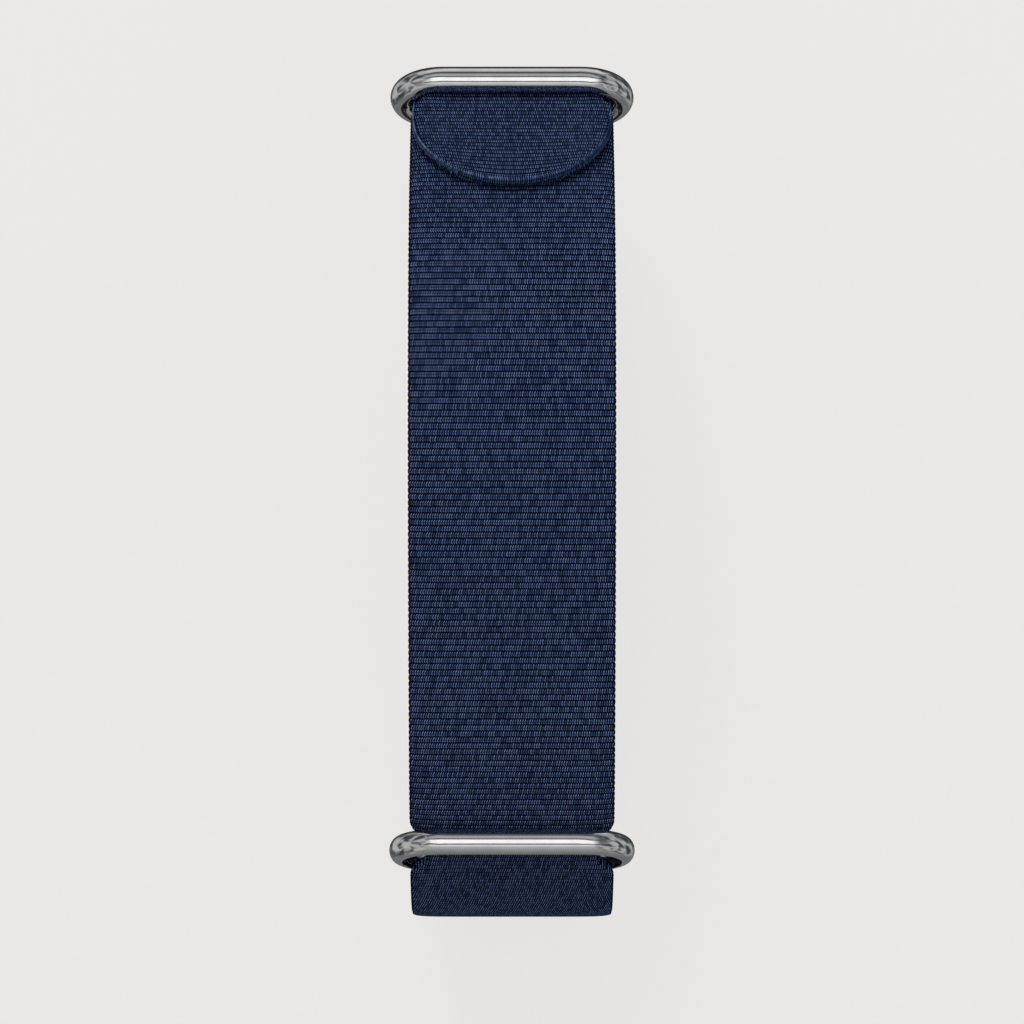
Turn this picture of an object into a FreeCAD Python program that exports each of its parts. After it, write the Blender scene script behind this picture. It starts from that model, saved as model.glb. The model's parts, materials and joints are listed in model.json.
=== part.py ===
import FreeCAD, Part
import math
import os

# Fitness tracker band: a knitted strap looped round a wrist-sized oval, woven through two
# steel rings, with a sensor pod held in a cradle inside the back of the loop.
# Millimetres. X runs across the strap, +Y towards the adjuster ring, +Z towards the
# outward face of the front of the loop. The band lies on its back, so the flat stretch
# of strap behind the pod rests on Z = 0.

V = FreeCAD.Vector

# ---- strap -----------------------------------------------------------------------
strap_width = 17.9
strap_thickness = 1.2
# The outer face is a chain of runs (length,) and bends (radius, degrees) that all turn the
# same way: from the stitched end over the front, round the closed end to the flat back.
front_heading = 128.0
stitched_run = [(8.1,)]
upper_front = [(30.0, 7.0), (30.0, 5.0), (16.0, 18.0), (60.0, 4.5), (24.0, 10.5), (45.0, 7.0)]
lower_front = [(50.0, 10.0), (170.0, 6.0), (32.0, 16.0), (23.0, 36.0), (20.0, 22.0)]
closed_end = [(0.5,), (27.0, 40.0), (15.0, 50.0)]
flat_half = 18.6
back_corner = [(15.0, 50.0), (36.0, 40.0)]
# ---- tail tab, which doubles back over the stitched end ----------------------------
tab_gap = 0.5
tab_root_run = 0.26
tab_bend = (5.6, 38.0)
tab_hinge_run = 1.6
tab_last_bend = 7.0
tab_round = 7.6
tab_root_clearance = 0.1
hook_pad_thickness = 0.4
hook_pad_margin = 1.6
# ---- rings -------------------------------------------------------------------------
ring_width = 21.8
ring_pitch = 7.6
ring_section_flat = 1.9
ring_section_deep = 2.3
ring_a_drop = 21.88
ring_a_angle = 67.5
ring_b_slope = 46.3
ring_b_weave = 29.2
ring_b_inset = 0.22
neck_half_width = 6.9
neck_radius = 4.0
# ---- stitched anchor tape -----------------------------------------------------------
tape_thickness = 0.3
tape_width = 12.0
tape_clearance = 0.08
tape_tongue = 6.0
stitch_radius = 0.16
stitch_count = 9
# ---- pod cradle ---------------------------------------------------------------------
cradle_half_width = 9.55
cradle_sheet = 0.55
cradle_floor = 1.3
cradle_wall_top = 5.0
cradle_bar_offset = 6.0
cradle_bar_depth = 0.65
cradle_bar_width = 2.0
# ---- pod ------------------------------------------------------------------------------
pod_width = 17.7
pod_length = 35.0
pod_corner = 6.0
pod_wall = 0.9
pod_case_height = 6.4
pod_lid_height = 1.6
pod_edge_round = 0.7
seal_width = 0.5
seal_height = 0.4
window_size = (9.0, 12.0)
window_offset = 2.0
window_thickness = 0.8
board_thickness = 0.6
battery_size = (12.6, 17.0, 3.0)
motor_radius = 3.4
motor_height = 2.8
motor_wall = 0.2
motor_shaft_radius = 0.3
rotor_clearance = 0.04
rotor_radius = 2.9
contact_radius = 0.6
temperature_radius = 1.6


# ---- paths in the YZ plane -----------------------------------------------------------
def direction(heading):
    return V(0, math.cos(heading), math.sin(heading))


def leftward(heading):
    return V(0, -math.sin(heading), math.cos(heading))


def march(point, heading, moves):
    """Follow runs and left-hand bends; each stretch is (start, end, headings, pivot)."""
    stretches = []
    for move in moves:
        turned = heading
        pivot = None
        if len(move) == 1:
            end = point + direction(heading) * move[0]
        else:
            turned = heading + math.radians(move[1])
            pivot = point + leftward(heading) * move[0]
            end = pivot - leftward(turned) * move[0]
        stretches.append((point, end, heading, turned, pivot))
        point = end
        heading = turned
    return stretches


def face_edges(stretches, depth):
    """The edges that run along the strap at a depth inside its outer face."""
    edges = []
    for start, end, heading, turned, pivot in stretches:
        a = start + leftward(heading) * depth
        b = end + leftward(turned) * depth
        if pivot is None:
            edges.append(Part.makeLine(a, b))
        else:
            middle = pivot - leftward((heading + turned) / 2) * (a - pivot).Length
            edges.append(Part.Arc(a, middle, b).toShape())
    return edges


def ribbon(stretches, outer_depth, inner_depth, half_width):
    """A strap-like solid: the band between two depths of a path, carried across X."""
    outer = face_edges(stretches, outer_depth)
    inner = face_edges(stretches, inner_depth)
    ends = []
    for point, heading in ((stretches[0][0], stretches[0][2]), (stretches[-1][1], stretches[-1][3])):
        side = leftward(heading)
        ends.append(Part.makeLine(point + side * outer_depth, point + side * inner_depth))
    face = Part.Face(Part.Wire(Part.__sortEdges__(outer + inner + ends)))
    face.translate(V(-half_width, 0, 0))
    return face.extrude(V(2 * half_width, 0, 0))


def point_at(stretches, heading_degrees):
    """The point on a path's outer face where it heads a given way."""
    for start, end, heading, turned, pivot in stretches:
        wanted = math.radians(heading_degrees)
        if pivot is not None and heading <= wanted <= turned:
            return pivot - leftward(wanted) * (start - pivot).Length
    raise ValueError("the path never heads that way")


def front_run():
    """The front path, placed so that the flat back ends at Y 0, Z 0."""
    moves = stitched_run + upper_front + lower_front + closed_end + [(flat_half,)]
    trial = march(V(0, 0, 0), math.radians(front_heading), moves)
    return march(trial[-1][1] * -1, math.radians(front_heading), moves)


front_path = front_run()
stitched_end = front_path[0][0]
tab_heading = front_path[0][2]
tab_out = leftward(tab_heading) * -1
loop_height = max(stretch[1].z for stretch in front_path)
half_strap = strap_width / 2

# The tail rises from the flat back, passes over ring A's inner bar and under its outer bar,
# and bends over to meet the tab's line. The tab lifts from just beyond the outer bar.
tab_lift = tab_gap + strap_thickness
tail_bend_end = stitched_end + tab_out * tab_lift - direction(tab_heading) * tab_root_run
tail_pivot = tail_bend_end + leftward(tab_heading) * tab_bend[0]
tail_y = tail_pivot.y + tab_bend[0]
corner = march(V(0, 0, 0), 0.0, back_corner)[-1][1]
flat_high = tail_y - corner.y
tail_rise = tail_pivot.z - corner.z
back_path = march(
    V(0, 0, 0), 0.0, [(flat_high,)] + back_corner + [(tail_rise,), tab_bend, (tab_hinge_run,)]
)
tab_root = back_path[-1][1] + direction(tab_heading) * tab_root_clearance
tab_run = tab_root_run + stitched_run[0][0] - tab_hinge_run - tab_root_clearance
tab_path = march(tab_root, tab_heading, [(tab_run,), (upper_front[0][0] + tab_lift, tab_last_bend)])

ring_a_pivot = V(
    0,
    tail_y - strap_thickness - 2 * tape_clearance - tape_thickness - ring_section_deep / 2,
    loop_height - ring_a_drop,
)
ring_b_crossing = point_at(front_path, 180 + ring_b_slope)
ring_b_middle = ring_b_crossing + leftward(math.radians(180 + ring_b_slope)) * (
    strap_thickness / 2 + ring_b_inset
)
ring_b_angle = ring_b_slope + ring_b_weave
ring_b_pivot = ring_b_middle - direction(math.radians(ring_b_angle)) * (ring_pitch / 2)


# ---- small solids -----------------------------------------------------------------------
def box(x0, x1, y0, y1, z0, z1):
    return Part.makeBox(x1 - x0, y1 - y0, z1 - z0, V(x0, y0, z0))


def centred_box(width, length, x, y, z0, z1):
    return box(x - width / 2, x + width / 2, y - length / 2, y + length / 2, z0, z1)


def rounded_slab(width, length, radius, y, z0, z1):
    """A flat slab with round corners in plan."""
    slab = centred_box(width, length, 0, y, z0, z1)
    uprights = [e for e in slab.Edges if abs(e.Vertexes[0].Z - e.Vertexes[1].Z) > 1e-6]
    return slab.makeFillet(radius, uprights)


def disc(radius, x, y, z0, z1):
    return Part.makeCylinder(radius, z1 - z0, V(x, y, z0))


def rod_across(radius, half_length, point):
    """A round rod along X."""
    return Part.makeCylinder(radius, 2 * half_length, V(-half_length, point.y, point.z), V(1, 0, 0))


# ---- rings --------------------------------------------------------------------------------
def stadium_ring():
    """A ring lying in the XY plane, its first bar on the X axis and its second at +Y."""
    bend = ring_pitch / 2
    straight = ring_width - ring_section_flat - ring_pitch
    ellipse = Part.Ellipse(V(0, 0, 0), ring_section_deep / 2, ring_section_flat / 2)
    section = Part.Face(Part.Wire(ellipse.toShape()))
    section.rotate(V(0, 0, 0), V(0, 1, 0), 90)
    bar = section.copy()
    bar.translate(V(-straight / 2, 0, 0))
    bar = bar.extrude(V(straight, 0, 0))
    far_bar = bar.copy()
    far_bar.translate(V(0, ring_pitch, 0))
    pieces = [bar, far_bar]
    for side in (1, -1):
        start = section.copy()
        start.translate(V(side * straight / 2, 0, 0))
        pieces.append(start.revolve(V(side * straight / 2, bend, 0), V(0, 0, side), 180))
    ring = pieces[0].fuse(pieces[1:])
    return ring.removeSplitter().Solids[0]


def placed_ring(pivot, angle):
    """The ring hung from its first bar on a pivot, its second bar pointing along an angle."""
    ring = stadium_ring()
    ring.rotate(V(0, 0, 0), V(1, 0, 0), angle)
    ring.translate(pivot)
    return ring


def second_bar(pivot, angle):
    return pivot + direction(math.radians(angle)) * ring_pitch


def necked(strap, pivot, angle):
    """The strap drawn in at both edges where it threads between a ring's bars."""
    for point in (pivot, second_bar(pivot, angle)):
        whole = rod_across(neck_radius, strap_width, point)
        strap = strap.cut(whole.cut(box(-neck_half_width, neck_half_width, -99, 99, -99, 99)))
    return strap


# ---- strap --------------------------------------------------------------------------------
def strap_front():
    strap = ribbon(front_path, 0, strap_thickness, half_strap)
    return necked(strap, ring_b_pivot, ring_b_angle)


def strap_back():
    strap = ribbon(back_path, 0, strap_thickness, half_strap)
    return necked(strap, ring_a_pivot, ring_a_angle)


def tab_outline(margin, root):
    """An upright prism over the tab's plan: straight sides and a half-oval tip."""
    reach = (tab_path[-1][1] - tab_root).Length
    half = half_strap - margin
    depth = tab_round - margin
    oval = Part.Face(Part.Wire(Part.Ellipse(V(0, 0, 0), half, depth).toShape()))
    oval.translate(V(0, reach - tab_round, -5))
    straight = box(-half, half, root, reach - tab_round, -5, 5)
    prism = oval.extrude(V(0, 0, 10)).common(box(-half, half, reach - tab_round, reach, -5, 5))
    prism = prism.fuse(straight).removeSplitter()
    prism.rotate(V(0, 0, 0), V(1, 0, 0), math.degrees(tab_heading))
    prism.translate(tab_root)
    return prism


def strap_tab():
    tab = ribbon(tab_path, 0, strap_thickness, half_strap).common(tab_outline(0, -1))
    return necked(tab, ring_a_pivot, ring_a_angle).Solids[0]


def tab_hook_pad():
    pad = ribbon(tab_path, strap_thickness, strap_thickness + hook_pad_thickness, half_strap)
    return pad.common(tab_outline(hook_pad_margin, hook_pad_margin)).Solids[0]


# ---- anchor tape --------------------------------------------------------------------------
def tape_plane():
    """Where the tape's tongue lies: a point on the strap's inner face, and its heading."""
    return stitched_end + leftward(tab_heading) * strap_thickness


def anchor_tape():
    """A woven loop round ring A's inner bar with a two-ply tongue under the stitched end."""
    bore = ring_section_deep / 2 + tape_clearance
    half = tape_width / 2
    eye = rod_across(bore + tape_thickness, half, ring_a_pivot)
    tongue_start = tape_plane()
    reach = (tongue_start - ring_a_pivot).Length
    along = (tongue_start - ring_a_pivot) * (1 / reach)
    thick = 2 * tape_thickness
    angle = math.degrees(math.atan2(along.z, along.y))
    neck = box(-half, half, 0, reach + thick / 3, 0, thick)
    neck.rotate(V(0, 0, 0), V(1, 0, 0), angle)
    neck.translate(ring_a_pivot)
    tongue = ribbon(
        march(stitched_end, tab_heading, [(tape_tongue,)]),
        strap_thickness, strap_thickness + thick, half,
    )
    tape = eye.fuse([neck, tongue]).cut(rod_across(bore, half + 1, ring_a_pivot))
    tape = tape.cut(ribbon(front_path[:2], -3.0, strap_thickness, half_strap))
    return tape.removeSplitter().Solids[0]


def anchor_stitches():
    """Rows of lock stitches that hold the tongue, standing on its inner face."""
    stitches = []
    pitch = (tape_width - 2.0) / (stitch_count - 1)
    for row in (1.6, 4.4):
        at = stitched_end + direction(tab_heading) * row
        at = at + leftward(tab_heading) * (strap_thickness + 2 * tape_thickness + stitch_radius)
        for i in range(stitch_count):
            x = -tape_width / 2 + 1.0 + i * pitch
            stitches.append(Part.makeCylinder(stitch_radius, pitch * 0.7, at + V(x - pitch * 0.35, 0, 0), V(1, 0, 0)))
    return Part.makeCompound(stitches)


# ---- pod cradle -----------------------------------------------------------------------------
pod_y = (flat_high - flat_half) / 2
pod_floor = cradle_floor + cradle_sheet + 0.05
pod_top = pod_floor + pod_case_height + pod_lid_height


def pod_cradle():
    """A sheet tray inside the strap with a bar at each end that passes behind the strap."""
    inner = cradle_half_width - cradle_sheet
    length = pod_length + 2 * (cradle_sheet + 0.15)
    tray = rounded_slab(2 * cradle_half_width, length, 6.5, pod_y, cradle_floor, cradle_wall_top)
    bay = rounded_slab(2 * inner, length - 2 * cradle_sheet, 6.1, pod_y, cradle_floor + cradle_sheet, 20)
    tray = tray.cut(bay)
    for x in (-4.6, 4.6):
        for y in (pod_y - 8, pod_y + 8):
            tray = tray.cut(centred_box(6.0, 11.0, x, y, 0, cradle_floor + cradle_sheet))
    pieces = []
    for side, end in ((1, flat_high), (-1, -flat_half)):
        bar_y = end + side * cradle_bar_offset
        pieces.append(
            centred_box(2 * cradle_half_width, cradle_bar_width, 0, bar_y, 0.05, 0.05 + cradle_bar_depth)
        )
        tip = bar_y + side * cradle_bar_width / 2
        root = pod_y + side * (length / 2 - 7.5)
        for x in (-cradle_half_width, cradle_half_width - cradle_sheet):
            low = min(tip, root)
            high = max(tip, root)
            pieces.append(box(x, x + cradle_sheet, low, high, 0.05, cradle_floor + 1.4))
    return tray.fuse(pieces).removeSplitter().Solids[0]


# ---- pod --------------------------------------------------------------------------------------
def plan(inset, z0, z1):
    """The pod's plan, drawn in by an inset, between two heights."""
    return rounded_slab(
        pod_width - 2 * inset, pod_length - 2 * inset, pod_corner - inset, pod_y, z0, z1
    )


case_top = pod_floor + pod_case_height
cavity_floor = pod_floor + pod_wall
board_z = cavity_floor + battery_size[2] + 0.5
board_top = board_z + board_thickness
window_y = pod_y + window_offset
lid_floor = case_top
battery_y = pod_y + 4.4
motor_y = pod_y - 10.4
temperature_y = window_y + window_size[1] / 2 + 3.0
contact_y = pod_y - pod_length / 2 + 4.2
contact_columns = (-3.3, -1.1, 1.1, 3.3)
sensor_board_top = board_top + 0.8
battery_floor = cavity_floor + 0.2
screw_places = [(x, y) for x in (-5.6, 5.6) for y in (pod_y - 5.8, pod_y + 14.6)]
led_places = [(-1.4, 0.0), (0.0, 0.0), (1.4, 0.0)]
diode_places = [(x, y) for x in (-2.6, 2.6) for y in (-3.6, 3.6)]


def rounded_rim(shape, z):
    """Round over the outer rim that lies at one height."""
    rim = []
    for edge in shape.Edges:
        box_of = edge.BoundBox
        at_height = abs(box_of.ZMin - z) < 1e-6 and abs(box_of.ZMax - z) < 1e-6
        if at_height:
            rim.append(edge)
    return shape.makeFillet(pod_edge_round, rim)


def pod_case():
    shell = rounded_rim(plan(0, pod_floor, case_top), pod_floor)
    shell = shell.cut(plan(pod_wall, cavity_floor, case_top + 1))
    groove = plan(0.2, case_top - seal_height / 2, case_top).cut(plan(0.2 + seal_width, 0, 99))
    shell = shell.cut(groove)
    for x, y in screw_places:
        boss = disc(1.1, x, y, cavity_floor, board_z).cut(disc(0.45, x, y, cavity_floor + 1.2, 99))
        shell = shell.fuse(boss)
    return shell.removeSplitter().Solids[0]


def pod_lid():
    top = lid_floor + pod_lid_height
    lid = rounded_rim(plan(0, lid_floor, top), top)
    lid = lid.cut(plan(pod_wall, lid_floor - 1, top - pod_wall))
    groove = plan(0.2, lid_floor, lid_floor + seal_height / 2).cut(plan(0.2 + seal_width, 0, 99))
    lid = lid.cut(groove)
    width, length = window_size
    lid = lid.cut(rounded_slab(width + 0.1, length + 0.1, 2.05, window_y, lid_floor - 1, top + 1))
    lid = lid.cut(disc(temperature_radius + 0.03, 0, temperature_y, lid_floor - 1, top + 1))
    for x in contact_columns:
        lid = lid.cut(disc(contact_radius + 0.03, x, contact_y, lid_floor - 1, top + 1))
    return lid.Solids[0]


def pod_seal():
    low = case_top - seal_height / 2
    high = case_top + seal_height / 2
    return plan(0.2, low, high).cut(plan(0.2 + seal_width, 0, 99))


def sensor_window():
    top = lid_floor + pod_lid_height
    width, length = window_size
    return rounded_slab(width, length, 2.0, window_y, top - window_thickness, top)


def optics(size, places, z0, z1):
    """Square blocks on the sensor board, or the pockets round them."""
    blocks = [centred_box(size, size, x, window_y + y, z0, z1) for x, y in places]
    return Part.makeCompound(blocks)


def light_barrier():
    width, length = window_size
    top = lid_floor + pod_lid_height - window_thickness
    barrier = rounded_slab(width - 0.4, length - 0.4, 1.8, window_y, sensor_board_top, top)
    barrier = barrier.cut(optics(2.2, diode_places, 0, 99))
    barrier = barrier.cut(centred_box(4.6, 1.6, 0, window_y, 0, 99))
    return barrier.Solids[0]


def green_leds():
    return optics(0.8, led_places, sensor_board_top, sensor_board_top + 0.4)


def photodiodes():
    return optics(1.7, diode_places, sensor_board_top, sensor_board_top + 0.35)


def sensor_board():
    width, length = window_size
    return rounded_slab(
        width - 0.4, length - 0.4, 1.8, window_y, sensor_board_top - 0.4, sensor_board_top
    )


def main_board():
    board = plan(pod_wall + 0.3, board_z, board_top)
    for x, y in screw_places:
        board = board.cut(disc(0.5, x, y, 0, 99))
    return board.Solids[0]


def processor_chips():
    chips = [
        centred_box(4.2, 4.2, -3.6, pod_y - 9.6, board_top, board_top + 0.5),
        centred_box(3.0, 2.4, 2.2, pod_y - 9.8, board_top, board_top + 0.4),
        centred_box(1.6, 2.6, 5.6, pod_y - 9.8, board_top, board_top + 0.45),
        centred_box(2.0, 2.0, 5.9, pod_y + 2.0, board_top, board_top + 0.4),
    ]
    return Part.makeCompound(chips)


def radio_shield():
    can = centred_box(6.4, 4.6, 0, pod_y + 12.2, board_top, board_top + 1.0)
    return can.cut(centred_box(6.1, 4.3, 0, pod_y + 12.2, board_top - 1, board_top + 0.85))


def battery():
    width, length, height = battery_size
    cell = centred_box(width, length, 0, battery_y, battery_floor, battery_floor + height)
    long_edges = [e for e in cell.Edges if abs(e.Vertexes[0].Y - e.Vertexes[1].Y) > 1]
    return cell.makeFillet(0.6, long_edges)


def battery_pad():
    width, length, height = battery_size
    return centred_box(width - 2, length - 2, 0, battery_y, cavity_floor, battery_floor)


def motor_can():
    top = cavity_floor + motor_height
    can = disc(motor_radius, 0, motor_y, cavity_floor + motor_wall, top)
    return can.cut(disc(motor_radius - motor_wall, 0, motor_y, 0, top - motor_wall))


def motor_base():
    plate = disc(motor_radius, 0, motor_y, cavity_floor, cavity_floor + motor_wall)
    spindle_top = cavity_floor + motor_height - motor_wall - 0.05
    return plate.fuse(disc(motor_shaft_radius, 0, motor_y, cavity_floor, spindle_top)).removeSplitter()


def vibration_rotor():
    """An off-centre weight: half a disc and a hub on the motor's spindle."""
    low = cavity_floor + motor_wall + 0.2
    high = cavity_floor + motor_height - motor_wall - 0.25
    weight = disc(rotor_radius, 0, motor_y, low, high)
    weight = weight.cut(box(-9, 9, motor_y - 9, motor_y, 0, 99))
    rotor = weight.fuse(disc(0.9, 0, motor_y, low, high))
    return rotor.cut(disc(motor_shaft_radius + rotor_clearance, 0, motor_y, 0, 99)).removeSplitter()


def charge_contacts():
    top = lid_floor + pod_lid_height
    pins = []
    for x in contact_columns:
        head = disc(contact_radius, x, contact_y, top - 1.3, top)
        pins.append(head.fuse(disc(0.3, x, contact_y, board_top, top - 1.3)).removeSplitter())
    return Part.makeCompound(pins)


def temperature_sensor():
    top = lid_floor + pod_lid_height
    return disc(temperature_radius, 0, temperature_y, top - 1.7, top)


def board_screws():
    screws = []
    for x, y in screw_places:
        shank = disc(0.4, x, y, board_z - 1.2, board_top)
        head = disc(0.9, x, y, board_top, board_top + 0.4).cut(centred_box(0.25, 1.2, x, y, board_top + 0.2, 99))
        screws.append(shank.fuse(head).removeSplitter())
    return Part.makeCompound(screws)


def flex_cable():
    edge = window_y - window_size[1] / 2 + 0.2
    return box(-1.5, 1.5, edge - 0.12, edge, board_top, sensor_board_top)


def antenna_strip():
    x = pod_width / 2 - pod_wall
    return box(x - 0.2, x, pod_y - 8, pod_y + 8, board_top + 0.1, case_top - 0.1)


NODES = {
    "strap_front": strap_front,
    "strap_back": strap_back,
    "strap_tab": strap_tab,
    "tab_hook_pad": tab_hook_pad,
    "anchor_tape": anchor_tape,
    "anchor_stitches": anchor_stitches,
    "adjuster_ring": lambda: placed_ring(ring_a_pivot, ring_a_angle),
    "keeper_ring": lambda: placed_ring(ring_b_pivot, ring_b_angle),
    "pod_cradle": pod_cradle,
    "pod_case": pod_case,
    "pod_lid": pod_lid,
    "pod_seal": pod_seal,
    "sensor_window": sensor_window,
    "light_barrier": light_barrier,
    "green_leds": green_leds,
    "photodiodes": photodiodes,
    "sensor_board": sensor_board,
    "main_board": main_board,
    "processor_chips": processor_chips,
    "radio_shield": radio_shield,
    "battery": battery,
    "battery_pad": battery_pad,
    "motor_can": motor_can,
    "motor_base": motor_base,
    "vibration_rotor": vibration_rotor,
    "charge_contacts": charge_contacts,
    "temperature_sensor": temperature_sensor,
    "board_screws": board_screws,
    "flex_cable": flex_cable,
    "antenna_strip": antenna_strip,
}


def spot(name, point, offset):
    p = point + offset
    print(f"{name}: {p.x:.4f} {p.y:.4f} {p.z:.4f}")


def main():
    os.makedirs("parts", exist_ok=True)
    shapes = {name: build() for name, build in NODES.items()}
    whole = Part.makeCompound(list(shapes.values())).optimalBoundingBox()
    # The origin is under the middle of the band, on the surface that it lies on.
    offset = V(0, -(whole.YMin + whole.YMax) / 2, -whole.ZMin)
    for name, shape in shapes.items():
        shape.translate(offset)
        shape.exportStep(f"parts/{name}.step")
        solids = shape.Solids
        print(f"{name:20s} solids {len(solids):2d} valid {shape.isValid()} volume {shape.Volume:9.3f}")
    print(f"size {whole.XLength:.3f} {whole.YLength:.3f} {whole.ZLength:.3f}")
    spot("ring_a_pivot", ring_a_pivot, offset)
    spot("ring_a_far_bar", second_bar(ring_a_pivot, ring_a_angle), offset)
    spot("ring_b_pivot", ring_b_pivot, offset)
    spot("ring_b_far_bar", second_bar(ring_b_pivot, ring_b_angle), offset)
    spot("tab_root", tab_root, offset)
    spot("tab_tip", tab_path[-1][1], offset)
    spot("stitched_end", stitched_end, offset)
    spot("motor", V(0, motor_y, cavity_floor), offset)
    spot("pod_middle", V(0, pod_y, pod_top), offset)
    spot("flat_ends", V(0, flat_high, -flat_half), V(0, 0, 0))
    spot("apex", max((s[1] for s in front_path), key=lambda p: p.z), offset)
    spot("strap_low_y", point_at(front_path, 270), offset)
    print(f"tab heading {math.degrees(tab_heading):.2f}, tail rise {tail_rise:.3f}")


main()
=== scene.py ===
import json
import math

import bmesh
import bpy
from mathutils import Matrix, Vector


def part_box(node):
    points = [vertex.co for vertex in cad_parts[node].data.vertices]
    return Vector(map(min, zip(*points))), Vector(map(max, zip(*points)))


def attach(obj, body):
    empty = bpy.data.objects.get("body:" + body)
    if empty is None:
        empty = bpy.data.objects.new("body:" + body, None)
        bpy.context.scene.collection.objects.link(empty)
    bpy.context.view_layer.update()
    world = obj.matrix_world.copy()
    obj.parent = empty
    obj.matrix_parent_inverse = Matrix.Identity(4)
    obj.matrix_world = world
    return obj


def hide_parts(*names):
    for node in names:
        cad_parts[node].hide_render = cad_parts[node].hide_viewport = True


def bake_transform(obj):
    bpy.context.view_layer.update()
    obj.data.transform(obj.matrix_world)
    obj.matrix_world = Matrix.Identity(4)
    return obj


bl_info = {
    "name": "Knitted Fitness Band",
    "version": (1, 0, 0),
    "blender": (4, 5, 0),
    "location": "View3D > Sidebar > Band",
    "description": "Builds a knitted fitness band, its two rings and its sensor pod round a packed frame",
    "category": "Object",
}

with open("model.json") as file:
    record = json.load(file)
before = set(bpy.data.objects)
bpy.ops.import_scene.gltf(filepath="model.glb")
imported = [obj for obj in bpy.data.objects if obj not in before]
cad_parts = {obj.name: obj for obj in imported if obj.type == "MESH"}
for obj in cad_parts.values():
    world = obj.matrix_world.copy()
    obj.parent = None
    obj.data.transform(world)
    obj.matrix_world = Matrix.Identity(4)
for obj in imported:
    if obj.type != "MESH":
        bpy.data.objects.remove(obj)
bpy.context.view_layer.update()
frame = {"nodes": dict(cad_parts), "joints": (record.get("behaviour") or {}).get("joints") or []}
MM = 0.001
JOINTS = {joint["name"]: joint for joint in frame["joints"]}

# The strap's outer face in the YZ plane, in millimetres: runs (length,) and bends
# (radius, degrees) that all turn the same way.
FRONT_HEADING = 128.0
STITCHED_RUN = 8.1
FRONT_MOVES = [
    (STITCHED_RUN,), (30.0, 12.0), (16.0, 18.0), (60.0, 4.5), (24.0, 10.5), (45.0, 7.0),
    (50.0, 10.0), (170.0, 6.0), (32.0, 16.0), (23.0, 36.0), (20.0, 22.0),
    (0.5,), (27.0, 40.0), (15.0, 50.0), (18.6,),
]
BACK_CORNER = [(15.0, 50.0), (36.0, 40.0)]
TAIL_BEND = (5.6, 38.0)
TAB_BEND = (31.7, 7.8)
# The tab, in millimetres: how far it starts before the stitched end, its straight run, the
# stretch at its hinge that has no hook pad, and how far its outer face stands off the strap's.
TAB_ROOT_RUN = 0.26
TAB_RUN = TAB_ROOT_RUN + STITCHED_RUN
TAB_HINGE_RUN = 1.7
TAB_LIFT = 1.7


# ---- routes ------------------------------------------------------------------------------
def along(heading):
    """The unit vector that a heading points along, in the YZ plane."""
    return Vector((0.0, math.cos(heading), math.sin(heading)))


def leftward(heading):
    """The unit vector a quarter turn to the left of a heading."""
    return Vector((0.0, -math.sin(heading), math.cos(heading)))


class Route:
    """A chain of runs and bends in the YZ plane, measured along its outer face."""

    def __init__(self, start, heading_degrees, moves):
        self.stretches = []
        point = Vector(start)
        heading = math.radians(heading_degrees)
        self.length = 0.0
        for move in moves:
            if len(move) == 1:
                size = move[0] * MM
                self.stretches.append((self.length, size, point.copy(), heading, None))
                point = point + along(heading) * size
            else:
                radius = move[0] * MM
                turn = math.radians(move[1])
                size = abs(radius * turn)
                self.stretches.append((self.length, size, point.copy(), heading, radius * turn / abs(turn)))
                pivot = point + leftward(heading) * self.stretches[-1][4]
                heading = heading + turn
                point = pivot - leftward(heading) * self.stretches[-1][4]
            self.length += size
        self.end = point
        self.end_heading = heading

    def at(self, distance):
        """The point on the outer face and the heading there."""
        chosen = self.stretches[0]
        for stretch in self.stretches:
            if stretch[0] <= distance + 1e-12:
                chosen = stretch
        began, size, point, heading, radius = chosen
        rest = distance - began
        if radius is None:
            return point + along(heading) * rest, heading
        pivot = point + leftward(heading) * radius
        turned = heading + rest / radius
        return pivot - leftward(turned) * radius, turned

    def place(self, x, distance, depth):
        """The point at a distance along, a depth inside the outer face and a place across."""
        point, heading = self.at(distance)
        point = point + leftward(heading) * depth
        return Vector((x, point.y, point.z))


def strap_routes():
    """The two halves of the strap: stitched end to flat back, and flat back to tab tip."""
    trial = Route((0, 0, 0), FRONT_HEADING, FRONT_MOVES)
    steps = 4000
    low = min(trial.at(trial.length * i / steps)[0].y for i in range(steps + 1))
    closed_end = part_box("strap_front")[0].y
    start = Vector((0.0, closed_end - low, -trial.end.z))
    front = Route(start, FRONT_HEADING, FRONT_MOVES)
    flat = front.end
    tab_heading = math.radians(FRONT_HEADING)
    root = start - leftward(tab_heading) * TAB_LIFT * MM - along(tab_heading) * TAB_ROOT_RUN * MM
    pivot = root + leftward(tab_heading) * TAIL_BEND[0] * MM
    tail_y = pivot.y + TAIL_BEND[0] * MM
    corner = Route((0, 0, 0), 0.0, BACK_CORNER).end
    flat_run = (tail_y - corner.y - flat.y) / MM
    rise = (pivot.z - corner.z - flat.z) / MM
    moves = [(flat_run,)] + BACK_CORNER + [(rise,), TAIL_BEND, (TAB_RUN,), TAB_BEND]
    return front, Route(flat, 0.0, moves)


FRONT, TAIL = strap_routes()


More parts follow.
